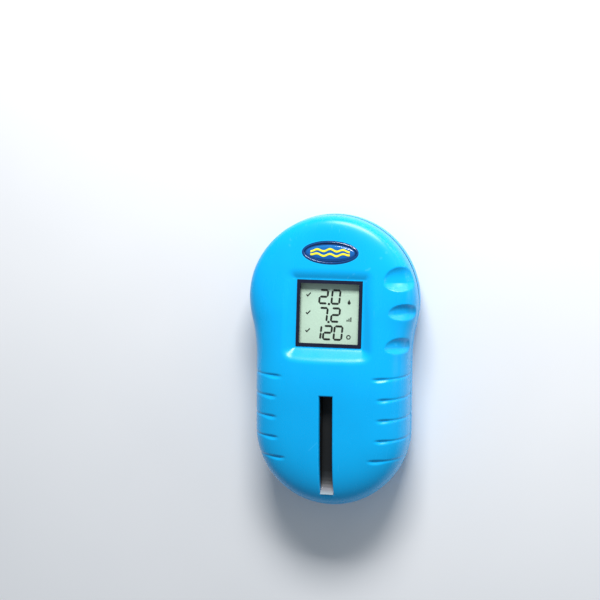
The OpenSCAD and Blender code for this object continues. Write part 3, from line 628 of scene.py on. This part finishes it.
def build_front():
    """Rings from the parting line inwards, a filled middle, then the openings and their walls."""
    insets = even_steps(SHOULDER_REACH, 16.5, SHOULDER_POWER, 27.8, STEP * 1.1)
    rings = []
    for d in insets:
        x, y = ring_points(d)
        z = PART_Z + crown(y) * front_rise(d / SHOULDER_REACH, y)
        rings.append(np.stack([x, y, np.broadcast_to(z, x.shape)], -1))
    rings[0] = np.stack([*ring_points(SEAM), np.full(rings[0].shape[0], PART_Z + 0.03)], -1)
    p = np.array(rings)
    normal = grid_normals(p)
    if normal[len(insets) // 2, 10, 2] < 0:
        normal = -normal
    p = p - normal * (groove_depth(p) + dent_depth(p))[..., None]
    rows, cols = p.shape[:2]
    half = cols // 2
    verts = p.reshape(-1, 3)
    faces = grid_faces(rows, cols, flip=True)
    # the middle, between the two sides of the last ring
    columns = 14
    last = (rows - 1) * cols
    index = np.zeros((half + 1, columns + 1), int)
    extra = []
    for i in range(half + 1):
        right, left = last + i, last + (cols - i) % cols
        index[i, 0], index[i, columns] = right, left
        for c in range(1, columns):
            if i in (0, half):
                index[i, c] = right
                continue
            t = c / columns
            xy = verts[right, :2] * (1 - t) + verts[left, :2] * t
            index[i, c] = len(verts) + len(extra)
            extra.append((xy[0], xy[1], float(front_z(xy[0], xy[1]))))
    verts = np.vstack([verts, np.array(extra)])
    for i in range(half):
        for c in range(columns):
            f = [index[i, c], index[i + 1, c], index[i + 1, c + 1], index[i, c + 1]]
            f = [v for k, v in enumerate(f) if v not in f[:k]]
            if len(f) > 2:
                faces.append(tuple(f[::-1]))
    verts[:, 2] = scoop_z(verts[:, 0], verts[:, 1], verts[:, 2])
    bm = filled_bmesh(verts, faces)
    bm.normal_update()
    cut_rectangle(bm, Matrix.Identity(4), (SLOT_HALF, SLOT_TOP, SLOT_END), [0.0, 0.1, 0.22, 0.38, LIP])
    t = BEZEL_HALF + 0.06
    cut_rectangle(bm, DISPLAY, (t, t, -t), [0.0, 0.12, 0.3])
    cut_oval(bm)
    # roll the edge of the slot
    for v in bm.verts:
        x, y, z = v.co
        if z < FACE_Z:
            continue
        g = float(slot_gap(np.array(x), np.array(y)))
        if g < LIP:
            v.co.z -= LIP - math.sqrt(max(LIP * LIP - (LIP - max(g, 0)) ** 2, 0))
    bmesh.ops.recalc_face_normals(bm, faces=bm.faces)
    # walls of the openings and the turned-in rim at the parting line
    rim = [e for e in bm.edges if e.is_boundary]
    upper = [e for e in rim if all(v.co.z > PART_Z + 3 for v in e.verts)]
    slot_edges = [e for e in upper
                  if all(abs(float(slot_gap(np.array(v.co.x), np.array(v.co.y)))) < 0.02 for v in e.verts)]
    taken = set(slot_edges)
    others = [e for e in upper if e not in taken]
    display_edges = [e for e in others if all(v.co.y < BETWEEN_Y for v in e.verts)]
    oval_edges = [e for e in others if all(v.co.y > BETWEEN_Y for v in e.verts)]
    seam = [e for e in rim if all(abs(v.co.z - PART_Z) < 0.05 for v in e.verts)]
    down = Vector((0, 0, -1))
    drop_walls(bm, slot_edges, down, WALL + 0.05)
    drop_walls(bm, display_edges, DISPLAY.to_3x3() @ down, WALL)
    drop_walls(bm, oval_edges, BUTTON.to_3x3() @ down, WALL)
    turn_in(bm, seam, 1)
    return from_bmesh("front_casing", bm, "casing", "front_shell", "casing_blue", BLUE)


def cut_rectangle(bm, where, span, offsets):
    """Cuts loops along a rectangle's sides, at some offsets outside it, and opens it."""
    half, top, end = span
    inv = where.inverted()
    reach = max(offsets) + 1.2
    for off in offsets:
        for point, normal in (((half + off, 0, 0), (1, 0, 0)), ((-half - off, 0, 0), (-1, 0, 0)),
                              ((0, top + off, 0), (0, 1, 0)), ((0, end - off, 0), (0, -1, 0))):
            local = {v: inv @ v.co for v in bm.verts if v.co.z > FACE_Z and abs(v.co.x) < half + reach + 1}
            near = {v for v, c in local.items()
                    if abs(c.x) < half + reach and end - reach < c.y < top + reach}
            faces = [f for f in bm.faces if all(v in near for v in f.verts)]
            edges = {e for f in faces for e in f.edges}
            verts = {v for f in faces for v in f.verts}
            co = where @ Vector(point)
            no = where.to_3x3() @ Vector(normal)
            bmesh.ops.bisect_plane(bm, geom=faces + list(edges) + list(verts), dist=1e-4,
                                   plane_co=co, plane_no=no)
    gone = []
    for f in bm.faces:
        c = inv @ f.calc_center_median()
        if f.calc_center_median().z > FACE_Z and abs(c.x) < half and end < c.y < top:
            gone.append(f)
    bmesh.ops.delete(bm, geom=gone, context="FACES")


def cut_oval(bm):
    """Opens the oval for the button's ring, with the edge's points moved on to the oval."""
    a, b = OVAL_A - 0.12, OVAL_B - 0.12
    inv = BUTTON.inverted()
    gone = []
    for v in bm.verts:
        if v.co.z < FACE_Z or v.co.y < BETWEEN_Y:
            continue
        c = inv @ v.co
        level = math.hypot(c.x / a, c.y / b)
        if 0.9 < level < 1.1 and abs(level - 1) * min(a, b) < STEP * 0.62:
            c.x, c.y = c.x / level, c.y / level
            w = BUTTON @ c
            v.co.x, v.co.y = w.x, w.y
            v.co.z = float(front_z(np.array(w.x), np.array(w.y)))
    for f in bm.faces:
        m = f.calc_center_median()
        if m.z < FACE_Z or m.y < BETWEEN_Y:
            continue
        c = inv @ m
        if math.hypot(c.x / a, c.y / b) < 1:
            gone.append(f)
    bmesh.ops.delete(bm, geom=gone, context="FACES")


def drop_walls(bm, edges, direction, depth):
    """Extrudes edges into a wall below them."""
    made = bmesh.ops.extrude_edge_only(bm, edges=edges)
    for v in (g for g in made["geom"] if isinstance(g, bmesh.types.BMVert)):
        v.co += direction * depth


def turn_in(bm, edges, sign):
    """The rim at the parting line: a small bevel, then a flat land across the wall."""
    def inset_of(x, y):
        return float(inset_at(np.array(x), np.array(y)))

    eps = 0.05
    for inset, dz in ((SEAM + 0.3, -0.02), (WALL, 0.0)):
        made = bmesh.ops.extrude_edge_only(bm, edges=edges)
        fresh = {g for g in made["geom"] if isinstance(g, bmesh.types.BMVert)}
        for v in fresh:
            x, y = v.co.x, v.co.y
            move = inset - inset_of(x, y)
            v.co.x += (inset_of(x + eps, y) - inset_of(x - eps, y)) / (2 * eps) * move
            v.co.y += (inset_of(x, y + eps) - inset_of(x, y - eps)) / (2 * eps) * move
            v.co.z += dz * sign
        edges = [g for g in made["geom"]
                 if isinstance(g, bmesh.types.BMEdge) and all(v in fresh for v in g.verts)]


build_front()


# ---------------------------------------------------------------- rear shell

DOOR_MID = (0, -11)
DOOR_HALF = (14.15, 27.15)                   # of the door's opening
LABEL_HALF = (12.2, 8.2)                     # of the label's recess
SCREWS = [(19.5, 34), (-19.5, 34), (18, -33.5), (-18, -33.5)]
SCREW_R = 2.6                                # of a counterbore
BACK_EDGE = 8.5                              # from the outline to the flat part of the back
SIDE_STEP = 2                                # the rear takes every second point of the outline


def side_loop(inset, z):
    x, y = ring_points(inset)
    x, y = x[::SIDE_STEP], y[::SIDE_STEP]
    return np.stack([x, y, np.full(len(x), z)], -1)


def rear_z(x, y):
    return PART_Z - PART_Z * rise(inset_at(x, y) / BACK_REACH, BACK_POWER)


def rounded_loop(half_x, half_y, radius, centre=(0, 0), per_corner=8):
    """Points of a rounded rectangle, anticlockwise from its right side."""
    out = []
    for k, (sx, sy) in enumerate(((1, -1), (1, 1), (-1, 1), (-1, -1))):
        for i in range(per_corner + 1):
            a = math.radians(-90 + 90 * k + 90 * i / per_corner)
            out.append((centre[0] + sx * (half_x - radius) + radius * math.cos(a),
                        centre[1] + sy * (half_y - radius) + radius * math.sin(a)))
    return out


def circle_loop(radius, centre, count=40):
    return [(centre[0] + radius * math.cos(2 * math.pi * i / count),
             centre[1] + radius * math.sin(2 * math.pi * i / count)) for i in range(count)]


def inside(polygon, x, y):
    x0, y0 = polygon[:, 0], polygon[:, 1]
    x1, y1 = np.roll(x0, -1), np.roll(y0, -1)
    hit = ((y0 > y) != (y1 > y)) & (x < (x1 - x0) * (y - y0) / np.where(y1 == y0, 1e-9, y1 - y0) + x0)
    return bool(hit.sum() % 2)


def build_rear():
    """Rings from the parting line to the back, the flat back round its openings, and their walls."""
    insets = even_steps(BACK_REACH, PART_Z, BACK_POWER, BACK_EDGE, 0.45)
    rows = [side_loop(d, PART_Z - PART_Z * float(rise(d / BACK_REACH, BACK_POWER))) for d in insets]
    rows[0] = side_loop(SEAM, PART_Z - 0.03)
    cols = len(rows[0])
    verts = [tuple(v) for row in rows for v in row]
    faces = grid_faces(len(rows), cols)
    last = [(len(rows) - 1) * cols + i for i in range(cols)]
    label_lo, label_hi = (Vector(c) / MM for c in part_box("rating_label"))
    label_mid = (0, (label_lo.y + label_hi.y) / 2)
    door_edge = rounded_loop(*DOOR_HALF, 2.1, DOOR_MID)
    label_edge = rounded_loop(*LABEL_HALF, 1.2, label_mid)
    openings = [door_edge, label_edge] + [circle_loop(SCREW_R, c) for c in SCREWS]
    flat = [Vector((verts[i][0], verts[i][1])) for i in last]
    loops = [list(range(cols))]
    for loop in openings:
        loops.append(list(range(len(flat), len(flat) + len(loop))))
        flat += [Vector(c) for c in loop]
    edges = [(lp[i], lp[(i + 1) % len(lp)]) for lp in loops for i in range(len(lp))]
    co, _, tris, orig, _, _ = delaunay_2d_cdt(flat, edges, [], 0, 1e-6)
    where = []
    for k, c in enumerate(co):
        known = [o for o in orig[k] if o < cols]
        if known:
            where.append(last[known[0]])
        else:
            where.append(len(verts))
            verts.append((c.x, c.y, float(rear_z(np.array(c.x), np.array(c.y)))))
    index_of = {}
    for k in range(len(co)):
        for o in orig[k]:
            index_of[o] = where[k]
    polygons = [np.array(lp) for lp in openings]
    for t in tris:
        cx = sum(co[i].x for i in t) / 3
        cy = sum(co[i].y for i in t) / 3
        outside = inset_at(np.array(cx), np.array(cy)) < BACK_EDGE
        if outside or any(inside(polygon, cx, cy) for polygon in polygons):
            continue
        area2 = sum(co[t[i]].x * co[t[(i + 1) % 3]].y - co[t[(i + 1) % 3]].x * co[t[i]].y for i in range(3))
        f = [where[i] for i in t]
        faces.append(tuple(f[::-1] if area2 > 0 else f))

    def wall(loop_ids, levels):
        """Rows of points from an opening's edge, each (loop of points, height); the last is closed."""
        ring = [index_of[i] for i in loop_ids]
        n = len(ring)
        for points, z in levels:
            start = len(verts)
            verts.extend((x, y, z) for x, y in points)
            fresh = list(range(start, start + n))
            for i in range(n):
                j = (i + 1) % n
                faces.append((ring[i], ring[j], fresh[j], fresh[i]))
            ring = fresh
        faces.append(tuple(ring))

    seat = rounded_loop(11.9, 25.6, 1.2, DOOR_MID)
    bay = rounded_loop(11.3, 25.5, 0.8, DOOR_MID)
    roof = rounded_loop(11.1, 25.3, 0.7, DOOR_MID)
    wall(loops[1], [(door_edge, 1.95), (seat, 1.95), (bay, 2.3), (bay, 12.9), (roof, 13.1)])
    wall(loops[2], [(label_edge, 0.3)])
    for lp, c in zip(loops[3:], SCREWS):
        levels = ((SCREW_R, 0.05), (2.5, 2.9), (2.4, 3.0), (1.2, 3.0), (1.2, 6.0))
        wall(lp, [(circle_loop(r, c), z) for r, z in levels])
    bm = filled_bmesh(verts, faces)
    bmesh.ops.recalc_face_normals(bm, faces=bm.faces)
    seam = [e for e in bm.edges if e.is_boundary and all(abs(v.co.z - PART_Z) < 0.05 for v in e.verts)]
    turn_in(bm, seam, -1)
    loose = [v for v in bm.verts if not v.link_faces]
    bmesh.ops.delete(bm, geom=loose, context="VERTS")
    return from_bmesh("rear_casing", bm, "casing", "rear_shell", "casing_blue", BLUE)


def build_bead():
    """The gasket's lip, a thin dark line in the parting line."""
    section = ((0.6, -0.03), (0.26, -0.1), (0.13, -0.2), (0.08, 0.0), (0.13, 0.2), (0.26, 0.1), (0.6, 0.03))
    rows = [side_loop(d, PART_Z + h) for d, h in section]
    return new_object("seam_bead", [tuple(v) for row in rows for v in row],
                      grid_faces(len(rows), len(rows[0])), "casing", slot="rubber_dark", material=RUBBER)


build_rear()
build_bead()


# ---------------------------------------------------------------- badge and display details

def ellipse_sweep(name, a, b, profile, matrix, *args, count=200, **kw):
    """A profile of (distance inside the ellipse, height) points swept round an ellipse."""
    verts = []
    for d, h in profile:
        for i in range(count):
            t = 2 * math.pi * i / count
            n = Vector((math.cos(t) / a, math.sin(t) / b)).normalized()
            verts.append(matrix @ Vector((a * math.cos(t) - n.x * d, b * math.sin(t) - n.y * d, h)))
    return new_object(name, verts, grid_faces(len(profile), count), *args, **kw)


def build_ring():
    """The badge's trim: a sloped outer face, then a small crown that rolls down to the film."""
    profile = [(0, -2.0), (0, -0.6), (0, 0.06), (0.03, 0.14), (0.1, 0.21), (0.3, 0.335), (0.5, 0.45),
               (0.6, 0.495), (0.7, 0.51), (0.82, 0.48), (0.94, 0.40), (1.03, 0.28), (1.1, 0.12),
               (1.1, -1.9)]
    return ellipse_sweep("badge_trim", OVAL_A, OVAL_B, profile, BUTTON, "casing", "badge_ring",
                         "badge_navy", NAVY)


def build_badge():
    """The badge: a pillow of clear-coated film on the button cap, from its edge to its middle."""
    half_a, half_b, edge, swell = 9.6, 2.9, 0.1, 0.35
    rings, count = 14, 160
    verts = []
    for k in range(rings + 1):
        r = 1 - k / rings
        h = edge + swell * (1 - r ** 7) ** 0.5
        r = max(r, 0.02)
        for i in range(count):
            t = 2 * math.pi * i / count
            verts.append(BUTTON @ Vector((half_a * r * math.cos(t), half_b * r * math.sin(t), h)))
    faces = grid_faces(rings + 1, count)
    faces.append(tuple(rings * count + i for i in range(count)))
    return new_object("badge_film", verts, faces, "button", "badge_plate", "badge_blue", BADGE_BLUE_PAINTED_HIGHLIGHT)


def plate_outline(points, depth, level, matrix, verts, faces):
    """Adds a flat plate of this outline, depth thick, from the height level up."""
    n = len(points)
    start = len(verts)
    for h in (level, level + depth):
        verts.extend(matrix @ Vector((x, y, h)) for x, y in points)
    for i in range(n):
        j = (i + 1) % n
        faces.append((start + i, start + j, start + n + j, start + n + i))
    faces.append(tuple(start + n + i for i in range(n)))
    faces.append(tuple(start + i for i in reversed(range(n))))


def build_marks():
    """Generic marks on the display: three ticks, a drop, a row of bars and a ring."""
    verts, faces = [], []
    level, depth = -2.7, 0.05

    def put(points, u, v):
        plate_outline([(u + x, v + y) for x, y in points], depth, level, DISPLAY, verts, faces)

    tick = [(-0.95, -0.05), (-0.6, 0.25), (-0.3, -0.2), (0.75, 0.95), (1.1, 0.65), (-0.28, -0.85)]
    for v in (7.1, 0.1, -6.9):
        put(tick, -9.0, v)
    drop = [(0.62 * math.sin(math.radians(a)), -0.35 - 0.62 * math.cos(math.radians(a)))
            for a in range(-135, 136, 15)] + [(0, 1.05)]
    put(drop, 7.3, 4.7)
    for k, top in enumerate((-0.1, 0.4, 0.9)):
        x = -0.95 + 0.75 * k
        put([(x, -0.8), (x + 0.45, -0.8), (x + 0.45, top), (x, top)], 7.4, -2.1)
    # the ring: four loops, joined round its section
    start, count = len(verts), 24
    for radius, h in ((0.9, level), (0.9, level + depth), (0.5, level + depth), (0.5, level)):
        for k in range(count):
            a = 2 * math.pi * k / count
            verts.append(DISPLAY @ Vector((7.4 + radius * math.cos(a), -9.0 + radius * math.sin(a), h)))
    for r in range(4):
        low, high = start + r * count, start + (r + 1) % 4 * count
        faces.extend((low + i, low + (i + 1) % count, high + (i + 1) % count, high + i)
                     for i in range(count))
    return new_object("display_marks", verts, faces, "casing", slot="segment_ink", material=SEGMENT,
                      smooth=False)


build_ring()
build_badge()
build_marks()

# ---------------------------------------------------------------- carried-over CAD nodes

CAD_LOOKS = {
    "rear_shell": BLUE, "battery_door": BLUE, "shell_gasket": RUBBER, "display_frame": FRAME_BLACK,
    "display_window": CLEAR, "lcd_glass": LCD, "lcd_segments": SEGMENT, "lcd_reflector": FILM,
    "lcd_holder": WHITE, "zebra_connectors": ZEBRA, "main_board": BOARD, "processor_chip": CHIP_BLACK,
    "chip_leads": TIN, "board_components": TAN, "crystal_can": TIN, "tact_switch": CHIP_BLACK,
    "switch_plunger": RED, "button_boot": RUBBER, "badge_ring": NAVY, "button_cap": NAVY,
    "badge_plate": BADGE_BLUE_PAINTED_HIGHLIGHT, "badge_waves": YELLOW, "strip_tray": TRAY_BLACK, "strip_ramp": RAMP_PAINTED_LIGHT,
    "strip_cover": TRAY_BLACK, "strip_spring": STEEL, "optics_block": TRAY_BLACK, "optics_window": CLEAR,
    "sensor_leds": LENS, "photo_sensors": PURPLE, "battery_cell_left": CELL_LEFT,
    "battery_cell_right": CELL_RIGHT, "battery_springs": STEEL, "battery_contacts": TIN,
    "case_screws": STEEL, "board_screws": STEEL, "rating_label": LABEL,
}
for node, material in CAD_LOOKS.items():
    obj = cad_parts[node]
    obj.data.materials.clear()
    obj.data.materials.append(material)


# ---------------------------------------------------------------- floor, light and camera

def area(name, place, target, size, size_y, power):
    light = bpy.data.lights.new(name, "AREA")
    light.shape = "RECTANGLE"
    light.size, light.size_y = size, size_y
    light.energy = power
    obj = bpy.data.objects.new(name, light)
    bpy.context.scene.collection.objects.link(obj)
    obj.location = place
    obj.rotation_euler = (Vector(target) - Vector(place)).to_track_quat("-Z", "Y").to_euler()


def camera():
    lift, roll = math.radians(8.0), math.radians(0.26)
    distance, scale = 0.90, 2.544        # metres to the object, picture points per millimetre at it
    frame_size, aim_at = 600, (332.46, 361.0)
    back = Vector((math.sin(AZIMUTH) * math.cos(lift), math.sin(lift), math.cos(AZIMUTH) * math.cos(lift)))
    right = Vector((0, 1, 0)).cross(back).normalized()
    up = back.cross(right)
    turned_right = right * math.cos(roll) + up * math.sin(roll)
    turned_up = up * math.cos(roll) - right * math.sin(roll)
    aim = Vector((0, 0, PART_Z + 5)) * MM
    cam = bpy.data.cameras.new("camera")
    cam.sensor_width = 36
    focal_px = scale / MM * distance
    cam.lens = focal_px / frame_size * cam.sensor_width
    # the object sits right of and below the middle of the picture
    middle = frame_size / 2
    offset = Vector((aim_at[0] - middle, middle - aim_at[1])) / focal_px * distance
    obj = bpy.data.objects.new("camera", cam)
    bpy.context.scene.collection.objects.link(obj)
    place = aim + back * distance - turned_right * offset.x - turned_up * offset.y
    basis = Matrix((turned_right, turned_up, back)).transposed().to_4x4()
    obj.matrix_world = Matrix.Translation(place) @ basis
    bpy.context.scene.camera = obj
    cam.clip_start = 0.01


camera()
area("key", (0.06, 0.50, 0.40), (0, 0.0, 0.02), 0.30, 0.16, 5.2)
area("side", (0.55, 0.12, 0.22), (0, 0.01, 0.015), 0.35, 0.25, 0.35)
area("strip_light", (0.24, 0.46, 0.17), (0, 0.03, 0.02), 0.42, 0.03, 0.6)
world = bpy.data.worlds.new("world")
world.use_nodes = True
background = world.node_tree.nodes["Background"]
background.inputs[0].default_value = (0.80, 0.90, 1.0, 1)
background.inputs[1].default_value = 0.30
bpy.context.scene.world = world
bpy.context.scene.view_settings.view_transform = "Standard"

floor_mesh = bpy.data.meshes.new("floor")
floor_mesh.from_pydata([(-3, -3, 0), (3, -3, 0), (3, 3, 0), (-3, 3, 0)], [], [(0, 1, 2, 3)])
floor = bpy.data.objects.new("floor", floor_mesh)
bpy.context.scene.collection.objects.link(floor)
floor_nodes = Nodes("pale_floor")
floor_cloud = floor_nodes.span(floor_nodes.noise(8, 3), 0, 1)
floor_nodes.set(Base_Color=floor_nodes.mix(floor_cloud, (0.80, 0.81, 0.83), (0.84, 0.845, 0.86)),
                Roughness=0.6)
floor.data.materials.append(floor_nodes.mat)
floor.location.z = CAD_BOX[0][2] - 0.0001

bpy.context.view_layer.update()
